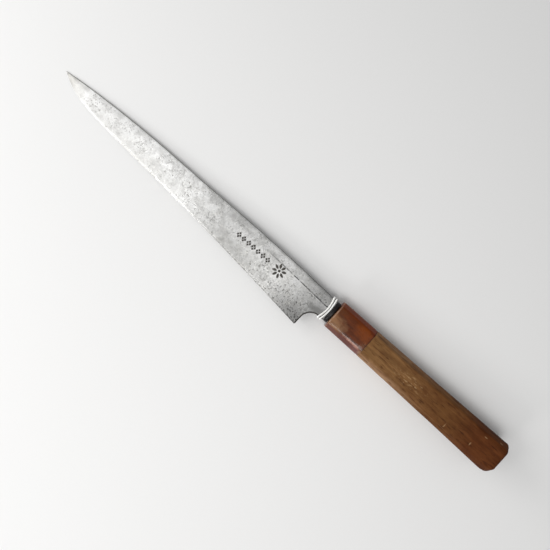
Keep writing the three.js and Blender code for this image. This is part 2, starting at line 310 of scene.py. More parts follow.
class Shader:
    """A node material under construction, with short names for the nodes used here."""

    def __init__(self, name):
        self.material = bpy.data.materials.new(name)
        self.material.use_nodes = True
        self.tree = self.material.node_tree
        self.surface = self.tree.nodes["Principled BSDF"]
        self.position = self.tree.nodes.new("ShaderNodeTexCoord").outputs["Object"]

    def node(self, kind, **settings):
        made = self.tree.nodes.new(kind)
        for key, value in settings.items():
            setattr(made, key, value)
        return made

    def feed(self, socket, value):
        if isinstance(value, bpy.types.NodeSocket):
            self.tree.links.new(value, socket)
        else:
            socket.default_value = value

    def stretched(self, sx, sy, sz):
        """The position with each axis scaled, so that noise on it is drawn out."""
        node = self.node("ShaderNodeMapping")
        self.feed(node.inputs["Vector"], self.position)
        node.inputs["Scale"].default_value = (sx, sy, sz)
        return node.outputs["Vector"]

    def axis(self, name):
        node = self.node("ShaderNodeSeparateXYZ")
        self.feed(node.inputs[0], self.position)
        return node.outputs[name]

    def noise(self, scale, vector=None, detail=4.0, roughness=0.55, distortion=0.0, seed=0.0):
        node = self.node("ShaderNodeTexNoise", noise_dimensions="4D")
        self.feed(node.inputs["Vector"], vector or self.position)
        node.inputs["W"].default_value = seed
        node.inputs["Scale"].default_value = scale
        node.inputs["Detail"].default_value = detail
        node.inputs["Roughness"].default_value = roughness
        node.inputs["Distortion"].default_value = distortion
        return node.outputs["Fac"]

    def span(self, value, low, high, to_low=0.0, to_high=1.0, soft=False):
        """Maps low..high to to_low..to_high, clamped."""
        node = self.node("ShaderNodeMapRange")
        node.interpolation_type = "SMOOTHSTEP" if soft else "LINEAR"
        self.feed(node.inputs["Value"], value)
        node.inputs["From Min"].default_value = low
        node.inputs["From Max"].default_value = high
        node.inputs["To Min"].default_value = to_low
        node.inputs["To Max"].default_value = to_high
        return node.outputs["Result"]

    def math(self, operation, a, b=0.0):
        node = self.node("ShaderNodeMath", operation=operation)
        self.feed(node.inputs[0], a)
        self.feed(node.inputs[1], b)
        return node.outputs["Value"]

    def times(self, *factors):
        result = factors[0]
        for factor in factors[1:]:
            result = self.math("MULTIPLY", result, factor)
        return result

    def mix(self, share, a, b, blend="MIX"):
        """Mixes two colours, each an (r, g, b) or a socket."""
        node = self.node("ShaderNodeMix", data_type="RGBA", blend_type=blend)
        self.feed(node.inputs["Factor"], share)
        colour_a = next(s for s in node.inputs if s.identifier == "A_Color")
        colour_b = next(s for s in node.inputs if s.identifier == "B_Color")
        self.feed(colour_a, (*a, 1.0) if isinstance(a, tuple) else a)
        self.feed(colour_b, (*b, 1.0) if isinstance(b, tuple) else b)
        return next(s for s in node.outputs if s.identifier == "Result_Color")

    def along(self, start, end):
        """0 at the first x and 1 at the second, in millimetres of the handle's frame."""
        return self.span(self.axis("X"), place(start, 0, 0).x, place(end, 0, 0).x, soft=True)

    def across(self, start, end):
        """0 at the first y and 1 at the second."""
        return self.span(self.axis("Y"), place(0, start, 0).y, place(0, end, 0).y, soft=True)

    def distance_from(self, spot, reaches):
        """How far a point is from a spot, 1 at each axis's reach; inf leaves an axis out."""
        node = self.node("ShaderNodeMapping")
        self.feed(node.inputs["Vector"], self.position)
        node.inputs["Scale"].default_value = [1 / reach for reach in reaches]
        node.inputs["Location"].default_value = [-at / reach for at, reach in zip(spot, reaches)]
        length = self.node("ShaderNodeVectorMath", operation="LENGTH")
        self.feed(length.inputs[0], node.outputs["Vector"])
        return length.outputs["Value"]

    def distance(self, x, y, reach_x, reach_y, ragged=0.0):
        """How far a point is from (x, y), 1 at the reaches, on either face."""
        far = self.distance_from(place(x, y, 0), (reach_x * MM, reach_y * MM, math.inf))
        if not ragged:
            return far
        rough = self.span(self.noise(260, detail=5, seed=x), 0.25, 0.75, -ragged, ragged)
        return self.math("ADD", far, rough)

    def blob(self, x, y, reach_x, reach_y, ragged=0.0):
        """1 at (x, y) and 0 from the reaches outwards."""
        return self.span(self.distance(x, y, reach_x, reach_y, ragged), 0.25, 1, 1, 0, soft=True)

    def growth_rings(self):
        """Wavy rings round a pith outside the section, 1 at each ring's dark side."""
        pith = place(0, 26, -12)
        radians_per_mm = 3.4
        waves = self.span(self.noise(160, seed=12), 0, 1, 0, 3)
        wavy = self.math("ADD", self.distance_from(pith, (math.inf, MM, MM)), waves)
        return self.span(self.math("SINE", self.times(wavy, radians_per_mm)), 0.0, 1.0)

    def line(self, value, level, width):
        """Thin lines where a value passes a level."""
        off = self.math("ABSOLUTE", self.math("SUBTRACT", value, level))
        return self.span(off, 0, width, 1, 0)

    def mark(self, name):
        """A number stored on the mesh's points."""
        node = self.node("ShaderNodeAttribute", attribute_name=name)
        return node.outputs["Fac"]

    def bump(self, height, distance, strength=1.0, under=None):
        node = self.node("ShaderNodeBump")
        self.feed(node.inputs["Height"], height)
        node.inputs["Distance"].default_value = distance
        node.inputs["Strength"].default_value = strength
        if under is not None:
            self.feed(node.inputs["Normal"], under)
        return node.outputs["Normal"]

    def set(self, **inputs):
        """Feeds the surface shader: underscores in a name stand for spaces."""
        for name, value in inputs.items():
            socket = self.surface.inputs[name.replace("_", " ")]
            self.feed(socket, (*value, 1.0) if isinstance(value, tuple) else value)
        return self.material


# ---- Materials -------------------------------------------------------------------------------

def grey(value):
    """A steel tone, very slightly warm."""
    return (value, value * 0.995, value * 0.98)


def steel_material():
    """Old carbon steel: mottled all over, dull and stained towards the neck and the heel, with painted
    shade dimming the point.
    """
    s = Shader("blade_steel")
    tone = s.mix(s.along(190, 145), grey(0.76), grey(0.90))
    tone = s.mix(s.along(125, 85), tone, grey(0.64))
    tone = s.mix(s.along(45, 8), tone, grey(0.31))
    heel = s.times(s.along(50, 15), s.across(3, 19))
    tone = s.mix(s.times(heel, 0.75), tone, grey(0.12))
    under_neck = s.blob(9, 5.5, 9, 4.5, ragged=0.4)
    tone = s.mix(s.times(under_neck, 0.6), tone, grey(0.12))

    bright_side = s.times(s.along(90, 150), s.across(0, 8))
    tone = s.mix(s.times(bright_side, 0.6), tone, grey(0.82), "MULTIPLY")
    edge_side = s.times(s.along(97, 80), s.across(3, 12), s.span(s.along(75, 45), 0, 1, 0.85, 0.4))
    tone = s.mix(edge_side, tone, grey(0.72), "MULTIPLY")

    strength = s.span(s.along(170, 50), 0, 1, 0.55, 1.0)
    blotch = s.noise(240, detail=4, roughness=0.6, seed=1)
    tone = s.mix(s.times(s.span(blotch, 0.58, 0.42), strength, 0.8), tone, grey(0.8), "MULTIPLY")
    crowded = s.span(s.noise(95, detail=3, seed=6), 0.40, 0.60)
    outline = s.line(s.noise(380, detail=1, distortion=0.8, seed=3), 0.5, 0.04)
    where = s.span(s.noise(150, detail=2, seed=4), 0.42, 0.55)
    tone = s.mix(s.times(outline, where, strength, 0.9), tone, grey(1.2), "MULTIPLY")
    dark_outline = s.line(s.noise(360, detail=1.5, distortion=0.9, seed=11), 0.5, 0.04)
    tone = s.mix(s.times(dark_outline, crowded, 0.75), tone, grey(0.6), "MULTIPLY")
    speck = s.noise(820, detail=2, seed=5)
    pits = s.times(s.span(speck, 0.56, 0.62), s.math("MAXIMUM", crowded, s.across(12, 17)))
    tone = s.mix(s.times(pits, 0.8), tone, grey(0.48), "MULTIPLY")
    fleck = s.span(s.noise(850, detail=2, seed=7), 0.59, 0.66)
    tone = s.mix(s.times(fleck, strength, 0.8), tone, grey(1.25), "MULTIPLY")
    ring = s.line(s.distance(47, 12, 2.6, 2.6, ragged=0.25), 0.8, 0.3)
    tone = s.mix(s.times(ring, 0.6), tone, grey(0.55), "MULTIPLY")

    broken = s.span(s.noise(300, detail=3, seed=8), 0.36, 0.5)
    ledge = s.times(s.span(s.mark("ledge"), 0.45, 0.8), s.along(64, 34), broken)
    tone = s.mix(s.times(ledge, 0.95), tone, grey(0.05))
    whetted = s.mark("whetted")
    # The bevel near the point is set darker: painted shade that dims its reflection.
    tone = s.mix(s.times(whetted, s.along(160, 180), 0.6), tone, grey(0.68))
    tone = s.mix(s.times(whetted, s.along(182, 155), 0.5), tone, grey(0.6), "MULTIPLY")
    # Darker towards the point: painted shade that dims the point's reflection of the lights.
    tone = s.mix(s.along(202, 212), tone, grey(0.8), "MULTIPLY")
    tone = s.mix(s.along(211, 218), tone, grey(0.72), "MULTIPLY")

    rough = s.span(s.math("ADD", blotch, s.times(pits, 0.4)), 0.3, 0.9, 0.38, 0.62)
    scratches = s.noise(1, s.stretched(60, 2600, 60), detail=3)
    relief = s.math("SUBTRACT", s.times(blotch, 0.35), pits)
    normal = s.bump(scratches, 0.00001, 0.5, under=s.bump(relief, 0.00006, 0.6))
    return s.set(Base_Color=tone, Metallic=1.0, Roughness=rough, Normal=normal)


def dark_steel_and_back_shade_material():
    """The back, the tang and the notch's rim, never whetted and nearly black: patina, and on the back
    painted shade along the side turned away from the light.
    """
    s = Shader("blued_steel")
    mottle = s.noise(900, detail=5, roughness=0.7)
    colour = s.mix(s.span(mottle, 0.35, 0.7), (0.022, 0.02, 0.018), (0.09, 0.084, 0.075))
    normal = s.bump(mottle, 0.00005, 0.6)
    return s.set(Base_Color=colour, Metallic=0.6, Roughness=0.55, Normal=normal)


def mark_material():
    """Bottoms and walls of the punched marks, dark with old tarnish."""
    s = Shader("mark_tarnish")
    speck = s.noise(3000, detail=3)
    colour = s.mix(speck, (0.02, 0.018, 0.016), (0.11, 0.1, 0.085))
    return s.set(Base_Color=colour, Metallic=0.3, Roughness=0.7)


def black_horn_material():
    s = Shader("black_horn")
    streaks = s.noise(1, s.stretched(120, 500, 900), detail=4)
    wear = s.noise(900, detail=4)
    colour = s.mix(s.span(streaks, 0.5, 0.8), (0.009, 0.008, 0.008), (0.035, 0.025, 0.018))
    rough = s.span(wear, 0.3, 0.7, 0.3, 0.5)
    normal = s.bump(wear, 0.00004, 0.5)
    return s.set(Base_Color=colour, Roughness=rough, Normal=normal, Specular_IOR_Level=0.25)


def amber_horn_material():
    """Red-brown horn: paler at the mouth, glowing orange at the back, chipped at the seam, with
    painted light on its lower edge, its lower and spine-side facets and the mouth's chamfer.
    """
    s = Shader("amber_horn")
    streaks = s.noise(1, s.stretched(70, 330, 330), detail=5, distortion=0.8, seed=1)
    fine = s.noise(1, s.stretched(150, 1500, 1500), detail=4, seed=2)
    colour = s.mix(s.span(streaks, 0.35, 0.65), (0.055, 0.011, 0.001), (0.115, 0.023, 0.002))
    front = s.blob(0, 0, 10, 22, ragged=0.2)
    colour = s.mix(s.times(front, 0.7), colour, (0.1, 0.03, 0.007))
    glow = s.blob(-20.5, -3, 9, 8, ragged=0.25)
    colour = s.mix(s.times(glow, 0.85), colour, (0.17, 0.034, 0.0))
    dark_corner = s.blob(-26.5, -9, 6, 6, ragged=0.2)
    colour = s.mix(s.times(dark_corner, 0.75), colour, (0.07, 0.009, 0.004))
    # Spine-side facet painted redder: painted light that makes up for the grey reflection the coat
    # throws on it.
    back_side = s.across(-5.5, -7.5)
    colour = s.mix(s.times(back_side, 0.6), colour, (0.19, 0.026, 0.0))
    pale = s.blob(-1, 5.5, 14, 9, ragged=0.3)
    colour = s.mix(s.times(pale, 0.85), colour, (0.28, 0.145, 0.07))
    # Mauve tint over the lower facet: painted reflection of the light on that side.
    lower_side = s.across(6.2, 7.4)
    colour = s.mix(s.times(lower_side, 0.85), colour, (0.115, 0.03, 0.022))
    # Pinkish patch towards the back of the lower facet's edge: painted highlight, the bright end of
    # that streak.
    rear = s.times(s.along(-17, -23), s.across(5.5, 7))
    colour = s.mix(s.times(rear, 0.6), colour, (0.18, 0.07, 0.062))
    # Pink band along the lower edge between the top and the slanted facet: painted highlight where the
    # rounded edge catches the light, with some wear in it.
    ridge = s.blob(-19, 6.2, 10, 1.15, ragged=0.35)
    colour = s.mix(s.times(ridge, 0.7), colour, (0.48, 0.26, 0.2))
    colour = s.mix(s.span(fine, 0.52, 0.75, 0, 0.5), colour, (0.025, 0.006, 0.003))
    seam = s.along(FERRULE_SEAM_X + 0.7, FERRULE_SEAM_X + 0.1)
    colour = s.mix(s.times(seam, 0.7), colour, (0.02, 0.006, 0.004))
    broken_corner = s.blob(FERRULE_SEAM_X, 7.6, 2.4, 2.2, ragged=0.35)
    colour = s.mix(s.times(broken_corner, 0.75), colour, (0.27, 0.15, 0.085))
    chips = s.times(
        s.blob(FERRULE_SEAM_X + 1.4, 3.5, 3.4, 5, ragged=0.3),
        s.span(s.noise(2600, detail=4), 0.52, 0.6),
    )
    colour = s.mix(s.times(chips, 0.45), colour, (0.3, 0.18, 0.09))
    # Pale band at the mouth: wear, and painted light on the lit edge of the chamfer.
    mouth_edge = s.times(
        s.along(-1.0, -0.5), s.along(-0.05, -0.2), s.span(s.noise(700, detail=3), 0.35, 0.55),
    )
    colour = s.mix(s.times(mouth_edge, 0.6), colour, (0.38, 0.24, 0.17))
    wear = s.noise(700, detail=5)
    rough = s.span(wear, 0.35, 0.7, 0.22, 0.42)
    normal = s.bump(wear, 0.00003, 0.3)
    polish = s.span(s.across(-8, -5), 0, 1, 0.1, 0.4)
    return s.set(
        Base_Color=colour, Roughness=rough, Normal=normal, Specular_IOR_Level=0.1,
        Coat_Weight=polish, Coat_Roughness=0.1,
    )


# Pale scratches and nicks in the wood, and last a painted highlight on the butt's upper edge: the
# middle's x and y, and how far each reaches
WOOD_SCRATCHES_AND_HIGHLIGHT = (
    (-90.8, 5.8, 0.5, 2.4),
    (-108.8, 4.0, 0.6, 1.5),
    (-113.4, -5.1, 1.5, 0.45),
    # A painted highlight on the upper edge near the butt
    (-123.1, -8.4, 1.7, 0.4),
)


def handle_wood_material():
    """Darkened wood with its grain along the handle, deep red at the end; painted light makes the
    lower and spine-side facets paler towards the front.
    """
    s = Shader("handle_wood")
    bands = s.noise(1, s.stretched(22, 300, 300), detail=5, roughness=0.6, distortion=1.0)
    tint = s.span(bands, 0.35, 0.65)
    front = s.mix(tint, (0.125, 0.060, 0.020), (0.215, 0.108, 0.040))
    middle = s.mix(tint, (0.100, 0.038, 0.009), (0.160, 0.070, 0.023))
    butt = s.mix(tint, (0.070, 0.019, 0.003), (0.110, 0.033, 0.008))
    colour = s.mix(s.along(-36, -84), front, middle)
    colour = s.mix(s.along(-84, -112), colour, butt)
    # The lower facets paler towards the front: painted light where the light falls on them.
    painted_side_light = s.times(s.along(-84, -34), s.across(5.5, 9.5), s.span(bands, 0.3, 0.6, 0.6, 1))
    colour = s.mix(s.times(painted_side_light, 0.9), colour, (0.36, 0.22, 0.13))
    # The spine-side facets a little paler towards the front: painted light that lifts their shade.
    painted_side_light = s.times(s.along(-90, -34), s.across(-5.5, -8.5))
    colour = s.mix(s.times(painted_side_light, 0.35), colour, (0.33, 0.2, 0.12))
    patches = s.noise(1, s.stretched(130, 260, 260), detail=5, roughness=0.62, seed=2)
    colour = s.mix(s.span(patches, 0.42, 0.62, 0, 0.6), colour, (0.62, 0.5, 0.4), "MULTIPLY")
    fibres = s.noise(1, s.stretched(75, 2300, 2300), detail=5, roughness=0.65)
    colour = s.mix(s.span(fibres, 0.45, 0.75, 0, 0.45), colour, (1.7, 1.7, 1.6), "MULTIPLY")
    end_face = s.along(BUTT_X + 1.6, BUTT_X + 0.4)
    side_face = s.math("SUBTRACT", 1.0, end_face)
    dashes = s.span(s.noise(1, s.stretched(120, 900, 900), detail=2.5, seed=5), 0.575, 0.66)
    dashes = s.times(dashes, side_face)
    colour = s.mix(s.times(dashes, 0.75), colour, (0.36, 0.25, 0.18), "MULTIPLY")
    pores = s.span(s.noise(1, s.stretched(260, 3200, 3200), detail=2), 0.64, 0.72)
    colour = s.mix(s.times(pores, 0.7), colour, (0.35, 0.3, 0.25), "MULTIPLY")
    rings = s.growth_rings()
    colour = s.mix(s.times(rings, end_face, 0.5), colour, (0.4, 0.3, 0.25), "MULTIPLY")
    flake = s.span(s.noise(1, s.stretched(350, 1100, 1100), detail=3, seed=9), 0.53, 0.62)
    scuffed = s.times(s.blob(-58, 0.3, 15, 5, ragged=0.5), flake)
    colour = s.mix(s.times(scuffed, 0.6), colour, (0.40, 0.25, 0.12))
    # Pale scratches and nicks, and one painted highlight
    for x, y, reach_x, reach_y in WOOD_SCRATCHES_AND_HIGHLIGHT:
        scratch_and_highlight = s.blob(x, y, reach_x, reach_y, ragged=0.4)
        colour = s.mix(s.times(scratch_and_highlight, 0.5), colour, (0.4, 0.25, 0.13))
    rough = s.span(fibres, 0.3, 0.7, 0.5, 0.7)
    hollow = s.math("MAXIMUM", pores, dashes)
    normal = s.bump(s.math("SUBTRACT", fibres, s.times(hollow, 1.2)), 0.00008, 0.5)
    return s.set(Base_Color=colour, Roughness=rough, Normal=normal, Specular_IOR_Level=0.1)


def core_wood_material():
    s = Shader("core_wood")
    bands = s.noise(1, s.stretched(25, 700, 700), detail=5, distortion=0.5)
    fibres = s.noise(1, s.stretched(90, 3000, 3000), detail=4)
    colour = s.mix(s.span(bands, 0.3, 0.7), (0.36, 0.22, 0.11), (0.55, 0.38, 0.22))
    rough = s.span(fibres, 0.3, 0.7, 0.65, 0.85)
    normal = s.bump(fibres, 0.00006, 0.6)
    return s.set(Base_Color=colour, Roughness=rough, Normal=normal)


def pitch_material():
    s = Shader("pitch")
    lumps = s.noise(500, detail=4)
    colour = s.mix(lumps, (0.012, 0.006, 0.003), (0.06, 0.03, 0.014))
    rough = s.span(lumps, 0.3, 0.7, 0.3, 0.55)
    normal = s.bump(lumps, 0.0001, 0.5)
    return s.set(Base_Color=colour, Roughness=rough, Normal=normal)


def cotton_material():
    s = Shader("white_cord")
    fuzz = s.noise(5200, detail=4, roughness=0.7)
    dirt = s.noise(300, detail=3)
    tone = s.mix(s.span(dirt, 0.45, 0.8), (0.95, 0.95, 0.93), (0.82, 0.8, 0.75))
    colour = s.mix(s.span(fuzz, 0.4, 0.8, 0.0, 0.2), tone, (0.7, 0.69, 0.66))
    normal = s.bump(fuzz, 0.00003, 0.6)
    return s.set(Base_Color=colour, Roughness=0.9, Normal=normal, Specular_IOR_Level=0.2)


# ---- Blade -----------------------------------------------------------------------------------

def spine_y(x):
    swell = SPINE_SWELL * math.sin(math.pi * clamp(x / SPINE_CURVE_X))
    t = max(0.0, (x - SPINE_CURVE_X) / (TIP_X - SPINE_CURVE_X))
    return SPINE_Y - swell + (TIP_Y - SPINE_Y) * t ** SPINE_CURVE_POWER


def edge_y(x):
    straight = HEEL_Y - EDGE_SLOPE * (x - HEEL_X)
    run = clamp((x - HEEL_X) / (BELLY_X - HEEL_X))
    worn = EDGE_WEAR * math.sin(math.pi * run)
    at_tip = HEEL_Y - EDGE_SLOPE * BLADE_LENGTH
    t = max(0.0, (x - BELLY_X) / (TIP_X - BELLY_X))
    return straight - worn - (at_tip - TIP_Y) * t ** BELLY_POWER


# Rows of one face, from the back to the edge: the eased back, the flat, the wedge, the bevel
BACK_ROWS = 4
FLAT_ROWS = 5
WEDGE_ROWS = 20
BEVEL_ROWS = 4
LEDGE_ROW = BACK_ROWS + FLAT_ROWS - 1
BEVEL_ROW = BACK_ROWS + FLAT_ROWS + WEDGE_ROWS


def blade_half_section(x):
    """One face's section from back to edge, as rows of (y, half thickness)."""
    run = clamp((x - HEEL_X) / BLADE_LENGTH)
    point = smooth(x, TIP_X - POINT_LENGTH, TIP_X)
    top = spine_y(x)
    bottom = max(edge_y(x), top + LEAST_HEIGHT)
    height = bottom - top
    spine_half = lerp(lerp(SPINE_HALF_HEEL, SPINE_HALF_TIP, run), POINT_HALF, point)
    bevel_half = min(lerp(BEVEL_HALF_HEEL, BEVEL_HALF_TIP, run), spine_half * 0.7)
    edge_half = min(EDGE_HALF, bevel_half * 0.5)
    ease = min(SPINE_EASE, spine_half * 0.6, height * 0.1)
    ledge_y = top + height * LEDGE_SHARE
    bevel_width = lerp(BEVEL_WIDTH_HEEL, BEVEL_WIDTH_TIP, smooth(x, *BEVEL_WIDENS_X))
    bevel_y = bottom - min(bevel_width, height * 0.3)
    drop = LEDGE_DROP * (1 - smooth(x, *LEDGE_FADES_X))
    neck = 1 - smooth(x, NECK_BACK_X + 4, NECK_FADE_X)

    rows = []
    for step in range(BACK_ROWS):
        angle = math.pi / 2 * step / (BACK_ROWS - 1)
        y = top + ease * (1 - math.cos(angle))
        rows.append((y, spine_half - ease * (1 - math.sin(angle))))
    for step in range(1, FLAT_ROWS + 1):
        rows.append((lerp(top + ease, ledge_y, step / FLAT_ROWS), spine_half * 0.995))
    for step in range(WEDGE_ROWS + 1):
        t = step / WEDGE_ROWS
        first = ledge_y + min(LEDGE_WIDTH, height * 0.03)
        y = lerp(first, bevel_y, t)
        ground = lerp(spine_half * 0.99, bevel_half, t ** GRIND_POWER)
        under_neck = clamp((y - NECK_UNDER_Y) / (bevel_y - NECK_UNDER_Y))
        full = lerp(NECK_HALF * 0.97, bevel_half, under_neck)
        half = lerp(ground, max(ground, full), neck) - drop * (1 - t) ** 0.5
        rows.append((y, half))
    for step in range(1, BEVEL_ROWS + 1):
        t = step / BEVEL_ROWS
        rows.append((lerp(bevel_y, bottom, t), lerp(bevel_half, edge_half, t)))
    return rows


def surface_half(x, y):
    """The upper face's height above the blade's middle plane at one point."""
    rows = blade_half_section(x)
    for (y0, half0), (y1, half1) in zip(rows, rows[1:]):
        if y0 <= y <= y1:
            return lerp(half0, half1, (y - y0) / max(y1 - y0, 1e-6))
    return rows[-1][1]


def blade_stations():
    """Places along the blade, every 0.7 mm or so and closer at the point."""
    count = 320
    crowding = 1.25
    shares = [1 - (1 - i / count) ** crowding for i in range(count + 1)]
    return [lerp(NECK_BACK_X, TIP_X, share) for share in shares]


def heel_corner():
    """The worn corner where the edge turns into the notch's side."""
    steps = 6
    corner = []
    for i in range(steps + 1):
        angle = math.pi / 2 * (1 + i / steps)
        corner.append((
            HEEL_X + HEEL_ROUND * (1 + math.cos(angle)),
            HEEL_Y - HEEL_ROUND * (1 - math.sin(angle)),
        ))
    return corner


def notch_side():
    """The notch's line from just above the heel, round its arc and along under the neck."""
    lean = NOTCH_LEAN / (HEEL_Y - NECK_UNDER_Y)
    arc_start_y = NECK_UNDER_Y + NOTCH_RADIUS
    arc_start_x = HEEL_X - lean * (HEEL_Y - arc_start_y)
    arc_end_x = arc_start_x - NOTCH_RADIUS
    side_start_y = HEEL_Y - HEEL_ROUND
    side = []
    side_steps = 10
    for i in range(1, side_steps):
        side.append((
            lerp(HEEL_X, arc_start_x, i / side_steps),
            lerp(side_start_y, arc_start_y, i / side_steps),
        ))
    arc_steps = 18
    for i in range(arc_steps + 1):
        angle = math.pi / 2 * i / arc_steps
        side.append((
            arc_end_x + NOTCH_RADIUS * math.cos(angle),
            arc_start_y - NOTCH_RADIUS * math.sin(angle),
        ))
    under_steps = 8
    for i in range(1, under_steps + 1):
        side.append((lerp(arc_end_x, NECK_BACK_X - 1, i / under_steps), NECK_UNDER_Y))
    return side


def heel_notch_shape():
    """What is missing between the heel and the neck's underside."""
    reach = 40
    past_faces = 5
    curve = heel_corner() + notch_side()
    outline = [(curve[0][0], reach), *curve, (-reach, NECK_UNDER_Y), (-reach, reach)]
    return prism(outline[::-1], -past_faces, past_faces)


def notch_rim_shape(face):
    """A slanted cut that eases the notch's rim on one face (1 above, -1 below)."""
    past_heel = 1.5
    past_rim = 0.3
    curve = [Vector(spot) for spot in [(HEEL_X, HEEL_Y + past_heel), *notch_side()]]
    rings = []
    for i, spot in enumerate(curve):
        way = (curve[min(i + 1, len(curve) - 1)] - curve[max(i - 1, 0)]).normalized()
        inward = Vector((way.y, -way.x))
        if inward.dot(Vector((1, -1))) < 0:
            inward = -inward
        half = surface_half(spot.x, min(spot.y, edge_y(spot.x)))
        depth = min(NOTCH_RIM_DEPTH, half * 0.6)
        outer = spot - inward * past_rim
        inner = spot + inward * NOTCH_RIM
        low = half - depth * 1.5
        high = half + depth * 0.1
        rings.append([
            (outer.x, outer.y, face * low),
            (inner.x, inner.y, face * high),
            (inner.x, inner.y, face * (half + OVERCUT)),
            (outer.x, outer.y, face * (half + OVERCUT)),
        ])
    return skin(rings)


def tang_shape():
    rings = []
    for x, height, thick in reversed(TANG):
        h = height / 2
        t = thick / 2
        rings.append([(x, -h, -t), (x, h, -t), (x, h, t), (x, -h, t)])
    return skin(rings)


def lozenge(x, y, length, height):
    return [(x - length, y), (x, y - height), (x + length, y), (x, y + height)]


def dot(x, y, radius):
    return [(x + radius * math.cos(a), y + radius * math.sin(a)) for a in full_turn(14)]


def petal(x, y, angle, start, length, width):
    """A leaf-shaped outline pointing away from a centre."""
    points = []
    steps = 5
    for side in (1, -1):
        for step in range(steps):
            t = step / steps
            share = t if side == 1 else 1 - t
            along = start + length * share
            across = side * width * math.sin(math.pi * share) ** 0.8
            points.append((
                x + along * math.cos(angle) - across * math.sin(angle),
                y + along * math.sin(angle) + across * math.cos(angle),
            ))
    return points


def mark_outlines():
    """A plain row of punched diamonds, each in four, and one larger eight-petalled rosette."""
    outlines = []
    for i in range(DIAMONDS):
        x = DIAMOND_FIRST_X - DIAMOND_PITCH * i
        for side in (-1, 1):
            outlines.append(lozenge(x + 0.95 * side, DIAMOND_Y, 0.8, 0.95))
            outlines.append(lozenge(x, DIAMOND_Y + 1.15 * side, 0.8, 0.88))
    outlines.append(dot(*ROSETTE_AT, 0.85))
    for i in range(ROSETTE_PETALS):
        angle = 2 * math.pi * (i + 0.5) / ROSETTE_PETALS
        outlines.append(petal(*ROSETTE_AT, angle, start=1.35, length=3.4, width=0.82))
    return outlines


def marks_shape():
    shapes = []
    for outline in mark_outlines():
        middle_x = sum(p[0] for p in outline) / len(outline)
        middle_y = sum(p[1] for p in outline) / len(outline)
        floor = surface_half(middle_x, middle_y) - MARK_DEPTH
        shapes.append(prism(outline, floor, floor + OVERCUT))
    return joined(shapes)


def darken_back(blade):
    """Gives the second, nearly black material to the faces that look along -y: the blade's back, where
    it is painted shade as well as patina.
    """
    turned_back = -0.35
    for face in blade.data.polygons:
        if face.normal.y < turned_back:
            face.material_index = 1


def forged_wave(x, y, slow_seed, quick_seed):
    """The unevenness of a hammered face, in broad waves with smaller ones on them."""
    return 0.035 * wobble(x, y, 0, 17, slow_seed) + 0.012 * wobble(x, y, 0, 5, quick_seed)


def build_blade():
    rings = []
    whetted = []
    ledge = []
    for x in blade_stations():
        rows = blade_half_section(x)
        lower, upper = [], []
        for i, (y, half) in enumerate(rows):
            # The waves die out towards the back and the bevel
            calm = smooth(i, 2, 7) * (1 - smooth(i, len(rows) - 6, len(rows) - 2))
            nick = abs(0.07 * wobble(x, 0, 0, 1.6, 5.5)) * (i == len(rows) - 1)
            upper.append((x, y - nick, half + forged_wave(x, y, 3.1, 8.7) * calm))
            lower.append((x, y - nick, -half - forged_wave(x, y, 21.4, 30.2) * calm))
        rings.append(lower + upper[::-1])
        bevel = [float(i >= BEVEL_ROW + 1) for i in range(len(rows))]
        line = [float(i == LEDGE_ROW) for i in range(len(rows))]
        whetted += bevel + bevel[::-1]
        ledge += line + line[::-1]
    blade = mesh_object("blade_forged", *skin(rings))
    for name, values in (("whetted", whetted), ("ledge", ledge)):
        layer = blade.data.attributes.new(name, "FLOAT", "POINT")
        layer.data.foreach_set("value", values)
    fix_normals(blade)
    # The nearly black steel on the back is painted shade as well as patina.
    dark_steel_and_shade = dark_steel_and_back_shade_material()
    blade.data.materials.append(steel_material())
    blade.data.materials.append(dark_steel_and_shade)
    darken_back(blade)
    boolean(blade, tang_shape(), "UNION", dark_steel_and_shade)
    boolean(blade, heel_notch_shape(), "DIFFERENCE", dark_steel_and_shade)
    boolean(blade, notch_rim_shape(1), "DIFFERENCE", dark_steel_and_shade)
    boolean(blade, notch_rim_shape(-1), "DIFFERENCE", dark_steel_and_shade)
    boolean(blade, marks_shape(), "DIFFERENCE", mark_material())
    shade(blade, angle=24)
    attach(blade, "root")
    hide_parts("blade")


# ---- Handle ----------------------------------------------------------------------------------

def handle_section(x, inset=0.0):
    t = clamp(-x / HANDLE_LENGTH)
    _, half_z, facet_y, facet_z = (lerp(a, b, t) for a, b in zip(SECTION_FRONT, SECTION_BUTT))
    half_y = lerp(SECTION_FRONT[0], SECTION_BUTT[0], t ** WIDTH_POWER)
    shrink = inset * (2 - math.sqrt(2))
    return half_y - inset, half_z - inset, facet_y - shrink, facet_z - shrink


def octagon(x, inset, setback):
    """The handle's section at x as a ring of points, with every corner softened."""
    facet_steps = 5
    corner_steps = 4
    half_y, half_z, facet_y, facet_z = handle_section(x, inset)
    quarter = [(half_y, half_z - facet_z), (half_y - facet_y, half_z)]
    corners = list(quarter)
    corners += [(-y, z) for y, z in reversed(quarter)]
    corners += [(-y, -z) for y, z in quarter]
    corners += [(y, -z) for y, z in reversed(quarter)]
    corners = [Vector(c) for c in corners]
    ring = []
    for i, corner in enumerate(corners):
        before = corner + (corners[i - 1] - corner).normalized() * setback
        following = corners[(i + 1) % len(corners)]
        onward = following - corner
        after = corner + onward.normalized() * setback
        for k in range(corner_steps + 1):
            t = k / corner_steps
            p = before * (1 - t) ** 2 + corner * 2 * t * (1 - t) + after * t * t
            ring.append(p)
        end = following - onward.normalized() * setback
        ring += [after.lerp(end, k / facet_steps) for k in range(1, facet_steps)]
    return [(p.x, p.y) for p in ring]


def core_bore():
    """The bore for the dowel: its radius, its rear end and its front end."""
    low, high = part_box("core_dowel")
    radius = (high[1] - low[1]) / 2 / MM + FIT_GAP
    return radius, handle_x(low[0]) - FIT_GAP, handle_x(high[0]) + FIT_GAP


